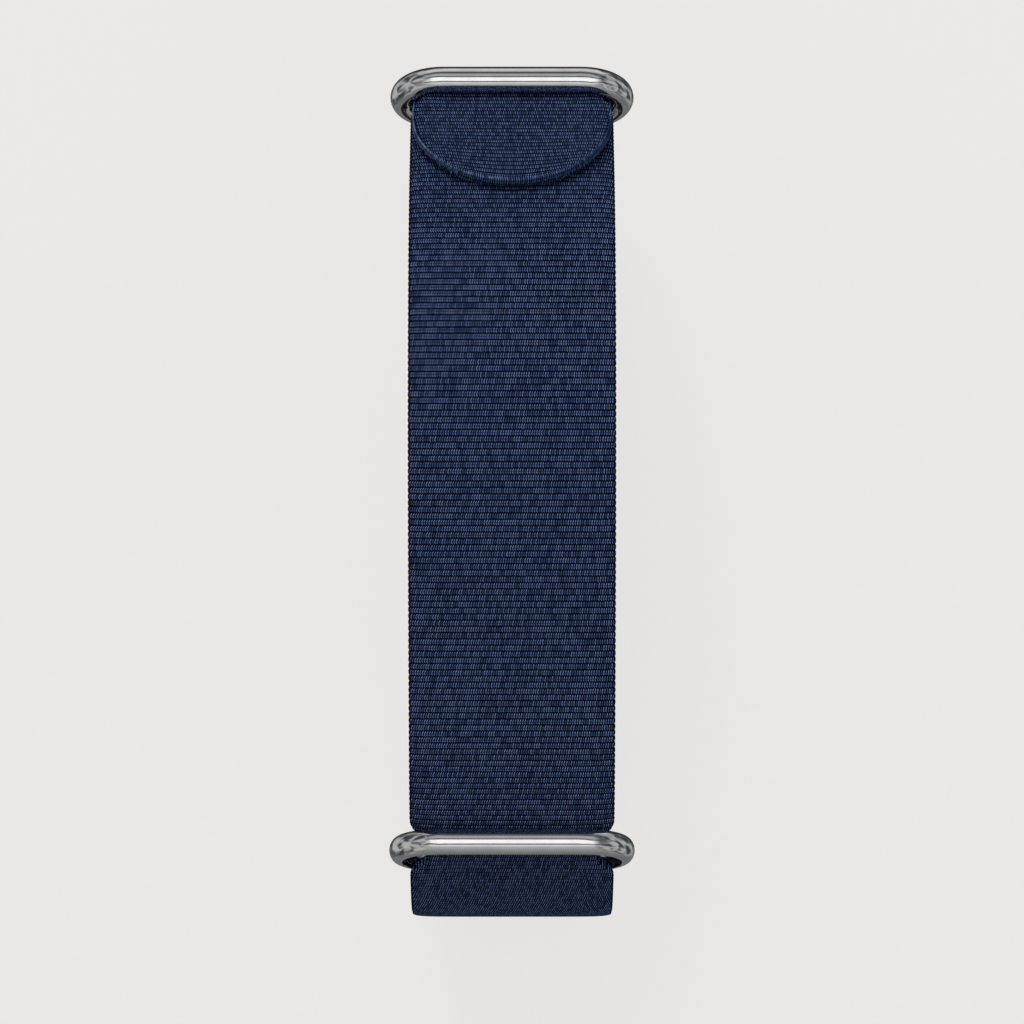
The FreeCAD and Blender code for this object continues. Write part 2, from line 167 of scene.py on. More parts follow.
# ---- settings ----------------------------------------------------------------------------
class StrapSettings(bpy.types.PropertyGroup):
    """Sizes of the knitted strap and its tab."""

    width: bpy.props.FloatProperty(
        name="Width", description="Width of the strap", default=18.15 * MM, unit="LENGTH")
    thickness: bpy.props.FloatProperty(
        name="Thickness", description="Thickness of the strap", default=1.2 * MM, unit="LENGTH")
    rib_pitch: bpy.props.FloatProperty(
        name="Rib pitch", description="Distance from one rib to the next", default=0.561 * MM,
        unit="LENGTH", precision=6)
    stitch_pitch: bpy.props.FloatProperty(
        name="Stitch pitch", description="Distance between stitches in a rib", default=0.209 * MM,
        unit="LENGTH", precision=6)
    groove: bpy.props.FloatProperty(
        name="Groove depth", description="Depth of the groove between ribs", default=0.1 * MM,
        unit="LENGTH", precision=6)
    tab_round: bpy.props.FloatProperty(
        name="Tab rounding", description="Length of the tab's half-oval tip", default=9.8 * MM,
        unit="LENGTH")
    ring_squeeze: bpy.props.FloatProperty(
        name="Ring squeeze", description="How far each side draws in where the strap threads a ring",
        default=1.5 * MM, unit="LENGTH", precision=6)
    cradle_squeeze: bpy.props.FloatProperty(
        name="Cradle squeeze", description="How far each side draws in between the cradle's walls",
        default=0.16 * MM, unit="LENGTH", precision=6)
    tab_narrowing: bpy.props.FloatProperty(
        name="Tab narrowing", description="How far each side of the tab stands in from the strap's side",
        default=0.2 * MM, unit="LENGTH", precision=6)
    rib_sag: bpy.props.FloatProperty(
        name="Rib sag", description="How far the tab's last ribs turn up at their ends", default=1.3 * MM,
        unit="LENGTH", precision=6)
    edge_curl: bpy.props.FloatProperty(
        name="Edge curl", description="How far the strap's edges lean past a ring's bars",
        default=-0.6 * MM, unit="LENGTH", precision=6)
    rim_height: bpy.props.FloatProperty(
        name="Rim height", description="Half the height of the tab's overlocked rim", default=0.42 * MM,
        unit="LENGTH", precision=6)
    rim_breadth: bpy.props.FloatProperty(
        name="Rim breadth", description="Half the breadth of the tab's overlocked rim", default=0.24 * MM,
        unit="LENGTH", precision=6)
    tape_thickness: bpy.props.FloatProperty(
        name="Tape thickness", description="Thickness of the anchor tape", default=0.3 * MM, unit="LENGTH",
        precision=6)
    tape_width: bpy.props.FloatProperty(
        name="Tape width", description="Width of the anchor tape", default=12.0 * MM, unit="LENGTH")
    tape_clearance: bpy.props.FloatProperty(
        name="Tape clearance", description="Gap between the tape's eye and the ring's bar",
        default=0.08 * MM, unit="LENGTH", precision=6)
    tape_tongue: bpy.props.FloatProperty(
        name="Tape tongue", description="Length of the tape stitched under the strap", default=6.0 * MM,
        unit="LENGTH")
    # The yarn on a rib's crown as it looks lit, with a painted highlight on it.
    painted_highlight_yarn: bpy.props.FloatVectorProperty(
        name="Light yarn", description="Colour of the yarn on the crown of a rib", subtype="COLOR",
        size=3, default=(0.19, 0.27, 0.5))
    middle_yarn: bpy.props.FloatVectorProperty(
        name="Middle yarn", description="Colour of the yarn between crown and groove", subtype="COLOR",
        size=3, default=(0.024, 0.044, 0.115))
    # Not a yarn colour of its own: painted shade for the grooves, the gaps between stitches and the strap's
    # sides.
    painted_shade_yarn: bpy.props.FloatVectorProperty(
        name="Dark yarn", description="Colour of the yarn down in a groove", subtype="COLOR",
        size=3, default=(0.0004, 0.0012, 0.005))


class RingSettings(bpy.types.PropertyGroup):
    """Sizes of the two polished rings."""

    width: bpy.props.FloatProperty(
        name="Width", description="Outer width of a ring", default=21.8 * MM, unit="LENGTH")
    pitch: bpy.props.FloatProperty(
        name="Bar pitch", description="Distance between the two bars' middles", default=7.6 * MM,
        unit="LENGTH")
    flat: bpy.props.FloatProperty(
        name="Section width", description="Section across the ring's plane", default=1.9 * MM,
        unit="LENGTH")
    deep: bpy.props.FloatProperty(
        name="Section depth", description="Section through the ring's plane", default=2.3 * MM,
        unit="LENGTH")
    steel: bpy.props.FloatVectorProperty(
        name="Steel", description="Colour of the polished steel", subtype="COLOR", size=3,
        default=(0.82, 0.82, 0.82))


class StageSettings(bpy.types.PropertyGroup):
    """The floor, the light and the camera."""

    floor_size: bpy.props.FloatProperty(
        name="Floor", description="Side of the square floor", default=3.0, unit="LENGTH")
    camera_height: bpy.props.FloatProperty(
        name="Camera distance", description="From the strap's front to the camera", default=0.563,
        unit="LENGTH")
    view_width: bpy.props.FloatProperty(
        name="View width", description="Width in view at the strap's front", default=0.08895, unit="LENGTH",
        precision=5)
    view_offset: bpy.props.FloatProperty(
        name="View offset", description="Where the view's middle lies along the band", default=-1.46 * MM,
        unit="LENGTH", precision=5)
    floor_glow: bpy.props.FloatProperty(
        name="Floor glow", description="How much the floor shines by itself, as a lit table does",
        default=0.92)
    floor_colour: bpy.props.FloatVectorProperty(
        name="Floor colour", description="Colour of the floor", subtype="COLOR", size=3,
        default=(0.81, 0.8, 0.79))


# ---- shader recipes ----------------------------------------------------------------------
class Wire:
    """A shader socket that plain arithmetic can be written with."""

    def __init__(self, finish, socket):
        self.finish = finish
        self.socket = socket

    def maths(self, operation, *others):
        inputs = dict(enumerate((self, *others)))
        return self.finish.node("ShaderNodeMath", {"operation": operation}, inputs)

    def __add__(self, other):
        return self.maths("ADD", other)

    def __sub__(self, other):
        return self.maths("SUBTRACT", other)

    def __mul__(self, other):
        return self.maths("MULTIPLY", other)

    def __truediv__(self, other):
        return self.maths("DIVIDE", other)

    def __rsub__(self, other):
        return (self * -1.0) + other

    __radd__ = __add__
    __rmul__ = __mul__

    def floor(self):
        return self.maths("FLOOR")

    def fraction(self):
        return self.maths("FRACT")

    def absolute(self):
        return self.maths("ABSOLUTE")

    def cosine(self):
        return self.maths("COSINE")

    def power(self, exponent):
        return self.maths("POWER", exponent)

    def ramp(self, low, high):
        """0 below low, 1 above high, smooth between."""
        settings = {"interpolation_type": "SMOOTHSTEP"}
        return self.finish.node("ShaderNodeMapRange", settings, {0: self, 1: low, 2: high})


class Finish:
    """A material's node tree, built one node at a time."""

    def __init__(self, tree):
        self.tree = tree
        tree.nodes.clear()

    def node(self, kind, settings=None, inputs=None, output=0):
        made = self.tree.nodes.new(kind)
        for name, value in (settings or {}).items():
            if name == "stops":
                while len(made.color_ramp.elements) < len(value):
                    made.color_ramp.elements.new(1.0)
                for element, (place, colour) in zip(made.color_ramp.elements, value):
                    element.position = place
                    element.color = colour
            else:
                setattr(made, name, value)
        for name, value in (inputs or {}).items():
            socket = made.inputs[name]
            if isinstance(value, Wire):
                self.tree.links.new(value.socket, socket)
            elif hasattr(value, "__len__") and len(value) == 3 and socket.type == "RGBA":
                socket.default_value = (*value, 1.0)
            else:
                socket.default_value = value
        return Wire(self, made.outputs[output]) if made.outputs else None

    def mix(self, factor, low, high):
        """A colour part of the way from low to high."""
        return self.node(
            "ShaderNodeMix", {"data_type": "RGBA"}, {0: factor, 6: low, 7: high}, output=2)

    def noise(self, vector, scale, detail=2.0):
        return self.node(
            "ShaderNodeTexNoise", {}, {"Vector": vector, "Scale": scale, "Detail": detail})

    def place(self):
        """Where a point is on the object, in metres."""
        return self.node("ShaderNodeTexCoord", output=3)

    def split(self, vector):
        made = self.node("ShaderNodeSeparateXYZ", inputs={0: vector}).socket.node
        return [Wire(self, made.outputs[i]) for i in range(3)]

    def combine(self, x, y, z=0.0):
        return self.node("ShaderNodeCombineXYZ", {}, {0: x, 1: y, 2: z})

    def bump(self, height, distance, strength=1.0):
        return self.node(
            "ShaderNodeBump", {}, {"Height": height, "Distance": distance, "Strength": strength})


def finish(name):
    """A new material and the empty node tree that its recipe fills."""
    material = bpy.data.materials.new(name)
    material.use_nodes = True
    return material, Finish(material.node_tree)


def close(made, **inputs):
    """The principled shader and the output, which end every recipe."""
    names = {key.replace("_", " ").title().replace("Ior", "IOR"): value for key, value in inputs.items()}
    shader = made.node("ShaderNodeBsdfPrincipled", {}, names)
    made.node("ShaderNodeOutputMaterial", {}, {0: shader})


def knit(name, sizes, shaded_sides=True):
    """Ribbed knit: rows of upright stitches with a wavy groove between one rib and the next, with painted
    shade in the grooves, in the gaps between stitches and, unless turned off, along the strap's sides, and
    painted highlights on the crowns and the stitches' ends.
    """
    material, made = finish(name)
    across, down, _ = made.split(made.node("ShaderNodeUVMap", {"uv_map": "knit"}))
    row = down / (sizes.rib_pitch / MM)
    drift = made.noise(made.combine(across * 0.35, row * 0.5), 1.0, 3.0)
    column = across / (sizes.stitch_pitch / MM) + drift * 0.6
    turn = ((row + 0.5).floor() * math.pi).cosine()
    shifted = row + (column * math.tau).cosine() * turn * 0.12
    rib = shifted.floor()
    edge = (shifted - (shifted + 0.5).floor()).absolute()
    crown = edge.ramp(0.06, 0.27)
    belly = edge.ramp(0.24, 0.5)
    lean = (shifted.fraction() - 0.5) * 0.28
    own = column + lean + ((rib * math.pi).cosine() + 1.0) * 0.25 + 0.25
    lot = made.node(
        "ShaderNodeTexWhiteNoise", {"noise_dimensions": "2D"}, {"Vector": made.combine(own.floor(), rib)})
    stitch = ((own * math.tau).cosine() * -0.5 + 0.5).power(0.8)
    streak = made.noise(made.combine(across * 0.9, row * 2.0), 1.0, 2.0)
    # Painted highlight: bright dots near the ends of the stitches.
    glint = edge.ramp(0.1, 0.2) * (1.0 - edge.ramp(0.26, 0.4)) * stitch * (lot * 0.9 + 0.3)
    # Painted shade: the tone falls from the rib's crown into the groove and into the gaps between stitches,
    # a little less at the rib's belly.
    body = crown * (1.0 - (1.0 - stitch) * (1.0 - belly * 0.2)) * (0.55 + lot * 0.14 + streak * 0.3)
    tone = body * 0.92 + glint * 0.7 - 0.15
    # Painted shade along the strap's rounded sides, which turn away from the light.
    if shaded_sides:
        painted_side_shade = across.absolute().ramp(sizes.width / 2 / MM - 0.24, sizes.width / 2 / MM - 0.06)
        tone = tone * (1.0 - painted_side_shade * 0.9)
    # Three tones: painted shade, the yarn's own colour, and the lit crown with its painted highlight.
    colour = made.mix(tone * 2.0, sizes.painted_shade_yarn, sizes.middle_yarn)
    colour = made.mix(tone * 2.0 - 1.0, colour, sizes.painted_highlight_yarn)
    fuzz = made.noise(made.place(), 9000.0, 2.0)
    close(
        made, base_color=colour, roughness=0.7 + fuzz * 0.2,
        normal=made.bump(crown + fuzz * 0.15, 0.05 * MM),
        sheen_weight=0.0, specular_ior_level=0.03)
    return material


def polished(name, colour, roughness, wander, calm=0.0):
    """Mirror-polished metal, rippled where it was bent and calm along its straight bars."""
    material, made = finish(name)
    place = made.place()
    x, _, _ = made.split(place)
    bent = x.absolute().ramp(calm * 0.78, calm * 1.1) * 0.97 + 0.03 if calm else 1.0
    soft = (made.noise(place, 330.0, 2.0) - 0.5) * bent
    fine = made.noise(place, 9000.0, 3.0)
    worn = made.noise(place, 700.0, 4.0)
    tint = made.mix(worn.ramp(0.35, 0.75), colour, tuple(c * 0.9 for c in colour))
    close(
        made, base_color=tint, metallic=1.0,
        roughness=roughness + worn.ramp(0.45, 0.8) * 0.05 + fine * 0.02,
        normal=made.bump(soft + fine * 0.004, wander))
    return material


def brushed(name, colour, roughness=0.35):
    """Sheet metal with a directional grain and a little handling wear."""
    material, made = finish(name)
    x, y, z = made.split(made.place())
    grain = made.noise(made.combine(x * 9000.0, y * 500.0, z * 9000.0), 1.0, 3.0)
    worn = made.noise(made.place(), 260.0, 4.0)
    tint = made.mix(worn.ramp(0.3, 0.8), colour, tuple(c * 0.72 for c in colour))
    close(
        made, base_color=tint, metallic=1.0, roughness=roughness + grain * 0.12 + worn * 0.08,
        normal=made.bump(grain, 0.004 * MM))
    return material


def moulded(name, colour, roughness=0.55, grain=0.012, scale=5200.0, coat=0.0):
    """A moulded plastic or rubber skin: spark-eroded grain, faint mottling, rubbed high spots."""
    material, made = finish(name)
    place = made.place()
    pebble = made.node("ShaderNodeTexVoronoi", {}, {"Vector": place, "Scale": scale})
    mottle = made.noise(place, 420.0, 3.0)
    rub = made.noise(place, 90.0, 4.0).ramp(0.5, 0.75)
    tint = made.mix(mottle, tuple(c * 0.82 for c in colour), tuple(min(1.0, c * 1.2) for c in colour))
    close(
        made, base_color=tint, roughness=roughness + mottle * 0.12 - rub * 0.1,
        normal=made.bump(pebble, grain * MM), coat_weight=coat, coat_roughness=0.2)
    return material


def woven(name, colour, pitch):
    """Plain weave for tapes and backings, on object coordinates."""
    material, made = finish(name)
    x, y, z = made.split(made.place())
    warp = ((x * (math.tau / pitch)).cosine() + 1.0) * 0.5
    weft = (((y - z) * (math.tau / (pitch * 1.2))).cosine() + 1.0) * 0.5
    over = warp * weft + (1.0 - warp) * (1.0 - weft)
    lot = made.noise(made.place(), 2600.0, 2.0)
    tint = made.mix(over * 0.7 + lot * 0.3, tuple(c * 0.25 for c in colour), colour)
    close(
        made, base_color=tint, roughness=0.8 + lot * 0.1, normal=made.bump(over, 0.03 * MM),
        sheen_weight=0.2)
    return material


def smoked_glass(name, colour):
    """Dark clear-coated glass with a faint smear."""
    material, made = finish(name)
    smear = made.noise(made.place(), 300.0, 3.0)
    close(
        made, base_color=made.mix(smear, colour, tuple(c * 1.3 for c in colour)),
        roughness=0.04 + smear.ramp(0.5, 0.8) * 0.06, alpha=0.62 + smear * 0.1,
        coat_weight=0.6, coat_roughness=0.05)
    return material


def circuit(name, colour):
    """Solder mask with tracks and pads showing through."""
    material, made = finish(name)
    x, y, _ = made.split(made.place())
    tracks = ((x * 2400.0).fraction() - 0.5).absolute().ramp(0.3, 0.42)
    ways = made.noise(made.combine((x * 800.0).floor(), (y * 500.0).floor()), 3.0).ramp(0.52, 0.56)
    pads = made.node("ShaderNodeTexVoronoi", {}, {"Vector": made.place(), "Scale": 900.0}).ramp(0.1, 0.14)
    tint = made.mix(tracks * ways, colour, tuple(c * 1.9 for c in colour))
    tint = made.mix((1.0 - pads) * ways, tint, (0.75, 0.6, 0.3))
    close(made, base_color=tint, roughness=0.35 + ways * 0.1, normal=made.bump(tracks * ways, 0.02 * MM))
    return material


# ---- mesh helpers ------------------------------------------------------------------------
def new_piece(name, mesh_maker, material, body, replaced=()):
    """Link a finished bmesh as a piece that rides on a body, or on none if its placement is baked later."""
    mesh = bpy.data.meshes.new(name)
    mesh_maker.to_mesh(mesh)
    mesh_maker.free()
    mesh.materials.append(material)
    mesh.polygons.foreach_set("use_smooth", [True] * len(mesh.polygons))
    piece = bpy.data.objects.new(name, mesh)
    bpy.context.scene.collection.objects.link(piece)
    if body:
        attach(piece, body)
    if replaced:
        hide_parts(*replaced)
    return piece


def wrapped_grid(around, rows, mapping, uv_mapping):
    """A closed tube made from a grid: around faces round the section, rows along it."""
    weld = 0.0005 * MM
    bm = bmesh.new()
    layer = bm.loops.layers.uv.new("knit")
    bmesh.ops.create_grid(bm, x_segments=around, y_segments=rows, size=0.5)
    for face in bm.faces:
        for loop in face.loops:
            place = loop.vert.co
            loop[layer].uv = uv_mapping(place.x + 0.5, place.y + 0.5)
    for vert in bm.verts:
        vert.co = mapping(vert.co.x + 0.5, vert.co.y + 0.5)
    bmesh.ops.remove_doubles(bm, verts=bm.verts, dist=weld)
    bmesh.ops.holes_fill(bm, edges=[edge for edge in bm.edges if edge.is_boundary], sides=0)
    bmesh.ops.recalc_face_normals(bm, faces=bm.faces)
    return bm


def oval_section(turn, half_width, half_depth):
    """A point on a strap's section: nearly flat faces, softly rounded edges."""
    flatness = 9.0
    edge_fullness = 0.21
    angle = math.tau * turn
    across = math.cos(angle)
    rise = max(0.0, 1.0 - abs(across) ** flatness) ** edge_fullness
    return across * half_width, math.copysign(rise, math.sin(angle)) * half_depth


def clamp(value):
    """The value held between 0 and 1."""
    return min(1.0, max(0.0, value))


def from_middle(phase):
    """1 where one repeat meets the next, falling to 0 at each repeat's middle."""
    slack = 1e-9
    return abs(2.0 * (phase - math.floor(phase + slack)) - 1.0)


def bell(value, width):
    """1 at zero with a broad top, and almost nothing past one and a half widths."""
    return math.exp(-(value / width) ** 4)


def nearest(route, target):
    """The distance along a route that passes closest to a point in the YZ plane."""
    steps = 3000
    best = min(range(steps + 1), key=lambda i: (route.at(route.length * i / steps)[0] - target).length)
    return route.length * best / steps


def middle(node):
    """The middle of a CAD node's box."""
    low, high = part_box(node)
    return (low + high) / 2


# ---- pieces ------------------------------------------------------------------------------
# 2 makes the tab's tip a true half-ellipse, and more makes it fuller.
TAB_FULLNESS = 2.2


def tab_share(part):
    """Share of the tab's full width left a part of the way along its half-oval tip."""
    return math.sqrt(max(0.0, 1.0 - clamp(part) ** TAB_FULLNESS))


class Strap:
    """How the strap's section changes along one of its two routes."""

    ROWS = 6
    AROUND = 44
    # How far past its ring's middle the strap draws in most, and how far to either side.
    FRONT_SQUEEZE = (-0.5 * MM, 2.2 * MM)
    TAIL_SQUEEZE = (0.8 * MM, 3.0 * MM)
    # The height below which the cradle draws it in, and the length of a gradual change.
    CRADLE_REACH = 8.0 * MM
    EASE = 3.0 * MM
    # Where the edges start to curl, from the strap's middle, and over what breadth.
    CURL_START = 5.2 * MM
    CURL_BREADTH = 3.75 * MM
    # A groove's share at the strap's sides, and the tab's edge and swelling at its tip.
    SIDE_GROOVE = 0.7
    TIP_SHARPNESS = 40
    TIP_SWELL = 0.12

    def __init__(self, route, ring, sizes, tapered):
        self.route = route
        self.sizes = sizes
        self.ribs = round(route.length / sizes.rib_pitch)
        self.pitch = route.length / self.ribs
        target = middle(ring)
        target.x = 0.0
        self.crossing = nearest(route, target)
        self.tapered = tapered

    def tip(self, distance):
        """0 where the tab starts to round off, 1 at its tip."""
        if not self.tapered:
            return 0.0
        rounding = self.sizes.tab_round
        return clamp((distance - self.route.length + rounding) / rounding)

    def sag(self, distance):
        """How far a rib's ends lag behind its middle as the ribs turn with the tab's rim."""
        return self.sizes.rib_sag * self.tip(distance) ** 1.5

    def outline(self, distance):
        """Half width and half thickness at a distance along."""
        half = self.sizes.width / 2
        deep = self.sizes.thickness / 2
        if self.tapered:
            half -= self.sizes.tab_narrowing * clamp((distance - self.crossing) / self.EASE)
        past, reach = self.TAIL_SQUEEZE if self.tapered else self.FRONT_SQUEEZE
        half -= self.sizes.ring_squeeze * bell(distance - self.crossing - past, reach)
        height = self.route.at(distance)[0].z
        half -= self.sizes.cradle_squeeze * clamp((self.CRADLE_REACH - height) / self.EASE)
        tip = self.tip(distance)
        if tip > 0.0:
            half *= tab_share(self.tip(distance - self.sag(distance)))
            deep *= math.sqrt(1.0 - tip ** self.TIP_SHARPNESS) * (1.0 + self.TIP_SWELL * tip)
        return half, deep

    def curl(self, distance, x):
        """How far the strap's edges lean past a ring's bars where it threads between them."""
        near = (distance - self.crossing) / self.EASE
        lean = self.sizes.edge_curl * near * math.exp(-(near * near) * 0.75)
        share = max(0.0, (abs(x) - self.CURL_START) / self.CURL_BREADTH)
        return lean * share ** 1.5

    def surface(self, turn, share):
        """The point a share of the way along, and a share of a turn round the section."""
        distance = share * self.route.length
        groove = self.sizes.groove * from_middle(distance / self.pitch) ** 3
        half, deep = self.outline(distance)
        half = max(0.0, half - self.SIDE_GROOVE * min(groove, half))
        deep = max(0.0, deep - min(groove, deep))
        x, z = oval_section(turn, half, deep)
        depth = self.sizes.thickness / 2 - z + self.curl(distance, x)
        lag = self.sag(distance) * (x / half) ** 2 if half > 0.0 else 0.0
        return self.route.place(x, distance - lag, max(0.0, depth) if self.near_floor(distance) else depth)

    def near_floor(self, distance):
        """Whether the strap lies on its flat back here, where no rib may stand proud."""
        return self.route.at(distance)[0].z < self.sizes.thickness

    def pattern(self, turn, share):
        """The same point on the flat knit, in millimetres across and along."""
        distance = share * self.route.length
        half, _ = self.outline(distance)
        x, _ = oval_section(turn, half, 1.0)
        return (x / MM, (distance / self.pitch) * (self.sizes.rib_pitch / MM))

    def mesh(self):
        return wrapped_grid(self.AROUND, self.ribs * self.ROWS, self.surface, self.pattern)


class BAND_OT_strap(bpy.types.Operator):
    """Knit the strap: the front with its closed end, and the back with its tail and tab"""

    bl_idname = "band.strap"
    bl_label = "Knit the strap"

    def execute(self, context):
        sizes = context.scene.band_strap
        yarn = knit("ribbed_knit", sizes)
        front = Strap(FRONT, "keeper_ring", sizes, False)
        new_piece("strap_knit_front", front.mesh(), yarn, "band", ["strap_front"])
        tail = Strap(TAIL, "adjuster_ring", sizes, True)
        piece = new_piece("strap_knit_tail", tail.mesh(), yarn, None, ["strap_back", "strap_tab"])
        blend_tab(piece)
        return {"FINISHED"}


def blend_tab(piece):
    """Bake the piece's placement into its mesh; the tail's bend where the tab starts to peel off the strap
    is in its route.
    """
    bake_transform(piece)


class BAND_OT_rim(bpy.types.Operator):
    """Overlock the tab's rim with a row of short threads laid over its border"""

    bl_idname = "band.rim"
    bl_label = "Overlock the tab's rim"

    def execute(self, context):
        sizes = context.scene.band_strap
        straight = 2.4 * MM
        inset = sizes.rim_breadth * 0.7
        half = sizes.width / 2 - sizes.tab_narrowing - inset
        tip = TAIL.length - inset
        turn_at = TAIL.length - sizes.tab_round
        arc = math.pi * (half + tip - turn_at) / 2
        whole = arc + 2 * straight
        threads = round(whole / sizes.stitch_pitch)

        def border(share):
            """Across, along and facing, from one side of the tab round its tip to the other."""
            run = share * whole
            if run < straight:
                return half, turn_at - (straight - run), 0.0
            if run > whole - straight:
                return -half, turn_at - (run - whole + straight), math.pi
            angle = (run - straight) / arc * math.pi
            reach = max(0.0, math.sin(angle)) ** (2.0 / TAB_FULLNESS)
            return half * math.cos(angle), turn_at + (tip - turn_at) * reach, angle

        def surface(turn, share):
            across, distance, angle = border(share)
            pinch = 0.5 * from_middle(share * threads) ** 2
            ends = min(1.0, share * whole / straight, (1.0 - share) * whole / straight)
            swell = (1.0 - pinch) * math.sqrt(ends)
            spread = math.cos(math.tau * turn) * sizes.rim_breadth * swell
            rise = math.sin(math.tau * turn) * sizes.rim_height * swell
            place = distance + math.sin(angle) * spread
            return TAIL.place(across + math.cos(angle) * spread, place, sizes.thickness * 0.4 - rise)

        def pattern(turn, share):
            return (share * threads * sizes.stitch_pitch / MM, (turn * 2 + 0.35) * sizes.rib_pitch / MM)

        rim = wrapped_grid(12, threads * 4, surface, pattern)
        blend_tab(new_piece("tab_rim", rim, knit("rim_knit", sizes, shaded_sides=False), None))
        return {"FINISHED"}


class BAND_OT_hooks(bpy.types.Operator):
    """Mould the hook pad under the tab: a woven backing and rows of small hooks"""

    bl_idname = "band.hooks"
    bl_label = "Mould the hook pad"

    def execute(self, context):
        sizes = context.scene.band_strap
        inset = 1.6 * MM
        straight = (TAB_RUN - TAB_HINGE_RUN) * MM
        first = TAIL.length - TAB_BEND[0] * math.radians(TAB_BEND[1]) * MM - straight + inset
        last = TAIL.length - inset
        top = sizes.thickness
        backing_middle = top + 0.05 * MM
        backing_half = 0.09 * MM
        hook_root = top + 0.12 * MM
        oval = sizes.tab_round - inset

        def half_width(distance):
            return (sizes.width / 2 - inset) * tab_share((distance - (last - oval)) / oval)

        def surface(turn, share):
            distance = first + (last - first) * share
            x, z = oval_section(turn, half_width(distance), backing_half)
            return TAIL.place(x, distance, backing_middle - z)

        bm = wrapped_grid(20, 40, surface, lambda turn, share: (turn, share))
        backing = woven("hook_backing", (0.02, 0.03, 0.06), 0.3 * MM)
        base = new_piece("hook_backing", bm, backing, "tab", ["tab_hook_pad"])
        hooks = bmesh.new()
        pitch = 0.5 * MM
        distance = first + pitch
        row = 0
        while distance < last - pitch:
            half = half_width(distance) - pitch
            count = int(2 * half / pitch)
            for i in range(count + 1):
                x = (i - count / 2) * pitch + (row % 2) * pitch / 4
                self.hook(hooks, x, distance, hook_root)
            distance += pitch
            row += 1
        nylon = moulded("hook_nylon", (0.02, 0.03, 0.06), 0.4)
        new_piece("hooks", hooks, nylon, "tab")
        return {"FINISHED"}

    def hook(self, bm, x, distance, depth):
        """One hook: an upright stem with a small head set off to one side."""
        _, heading = TAIL.at(distance)
        height = 0.2 * MM
        offset = 0.04 * MM
        stem = bmesh.ops.create_cone(
            bm, cap_ends=True, segments=5, radius1=0.06 * MM, radius2=0.04 * MM, depth=height)
        turn = Vector((0, 0, 1)).rotation_difference(leftward(heading)).to_matrix().to_4x4()
        upright = Matrix.Translation(TAIL.place(x, distance, depth + height / 2)) @ turn
        bmesh.ops.transform(bm, matrix=upright, verts=stem["verts"])
        head = bmesh.ops.create_icosphere(bm, subdivisions=1, radius=0.075 * MM)
        aside = Matrix.Translation(TAIL.place(x, distance - offset, depth + height))
        bmesh.ops.transform(bm, matrix=aside, verts=head["verts"])


class Trail:
    """A belt-like path in the YZ plane through a chain of points, with mitred corners."""

    def __init__(self, points):
        self.points = points
        self.marks = [0.0]
        for a, b in zip(points, points[1:]):
            self.marks.append(self.marks[-1] + (b - a).length)
        self.length = self.marks[-1]

    def at(self, distance):
        """The point and the sideways direction there."""
        last = len(self.points) - 2
        index = min(last, sum(1 for mark in self.marks[1:] if mark < distance))
        share = (distance - self.marks[index]) / (self.marks[index + 1] - self.marks[index])
        sides = []
        for i in (index, index + 1):
            before = self.points[max(0, i - 1)]
            after = self.points[min(last + 1, i + 1)]
            run = (after - before).normalized()
            sides.append(Vector((0.0, -run.z, run.y)))
        return self.points[index].lerp(self.points[index + 1], share), sides[0].lerp(sides[1], share)


class BAND_OT_anchor(bpy.types.Operator):
    """Loop the anchor tape round the adjuster ring's inner bar and stitch its tongue down"""

    bl_idname = "band.anchor"
    bl_label = "Stitch the anchor tape"

    def execute(self, context):
        sizes = context.scene.band_strap
        tape = sizes.tape_thickness
        pivot = Vector(JOINTS["adjuster_ring_swing"]["pos_m"])
        pivot.x = 0.0
        eye = context.scene.band_rings.deep / 2 + sizes.tape_clearance + tape / 2
        start, heading = FRONT.at(0.0)
        inner = start + leftward(heading) * sizes.thickness
        reach = inner - pivot
        toward = math.atan2(reach.z, reach.y)
        spread = math.acos(eye / reach.length)
        outer_ply = [inner + leftward(heading) * (tape / 2) + along(heading) * run
                     for run in (sizes.tape_tongue, sizes.tape_tongue / 2, tape)]
        inner_ply = [point + leftward(heading) * tape for point in reversed(outer_ply)]
        steps = 28
        sweep = math.tau - 2 * spread
        wrap = [pivot + along(toward - spread - sweep * i / steps) * eye for i in range(steps + 1)]
        trail = Trail(outer_ply + wrap + inner_ply)
        half = sizes.tape_width / 2
        rib_pitch = 0.8 * MM

        def surface(turn, share):
            place, side = trail.at(share * trail.length)
            x, z = oval_section(turn, half, tape * 0.46)
            rib = 1.0 - 0.1 * abs(math.sin(math.pi * x / rib_pitch))
            point = place + side * z * rib
            return Vector((x, point.y, point.z))

        weave = woven("anchor_weave", (0.03, 0.045, 0.1), 0.34 * MM)
        loop = wrapped_grid(40, 110, surface, lambda turn, share: (turn, share))
        new_piece("anchor_loop", loop, weave, "band", ["anchor_tape"])
        self.stitches(sizes, start, heading)
        return {"FINISHED"}

    def stitches(self, sizes, start, heading):
        """Two rows of lock stitches, each a short thread made as a stretched, slightly leaning bead."""
        low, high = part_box("anchor_stitches")
        count = 9
        pitch = (high.x - low.x) / (count - 0.3)
        radius = 0.16 * MM
        base = sizes.thickness + 2 * sizes.tape_thickness
        threads = bmesh.new()
        for row in (1.6 * MM, 4.4 * MM):
            for i in range(count):
                x = low.x + pitch * (i + 0.35)
                middle_point = start + along(heading) * row + leftward(heading) * (base + radius * 0.6)
                bead = bmesh.ops.create_uvsphere(threads, u_segments=10, v_segments=7, radius=radius)
                shape = Matrix.Diagonal((pitch * 0.42 / radius, 1.0, 0.9, 1.0))
                lean = Matrix.Rotation(0.22, 4, "Z")
                facing = Matrix.Rotation(heading, 4, "X")
                place = Matrix.Translation(Vector((x, middle_point.y, middle_point.z)))
                bmesh.ops.transform(threads, matrix=place @ facing @ lean @ shape, verts=bead["verts"])
        thread = woven("stitch_thread", (0.05, 0.07, 0.14), 0.12 * MM)
        new_piece("anchor_thread", threads, thread, "band", ["anchor_stitches"])


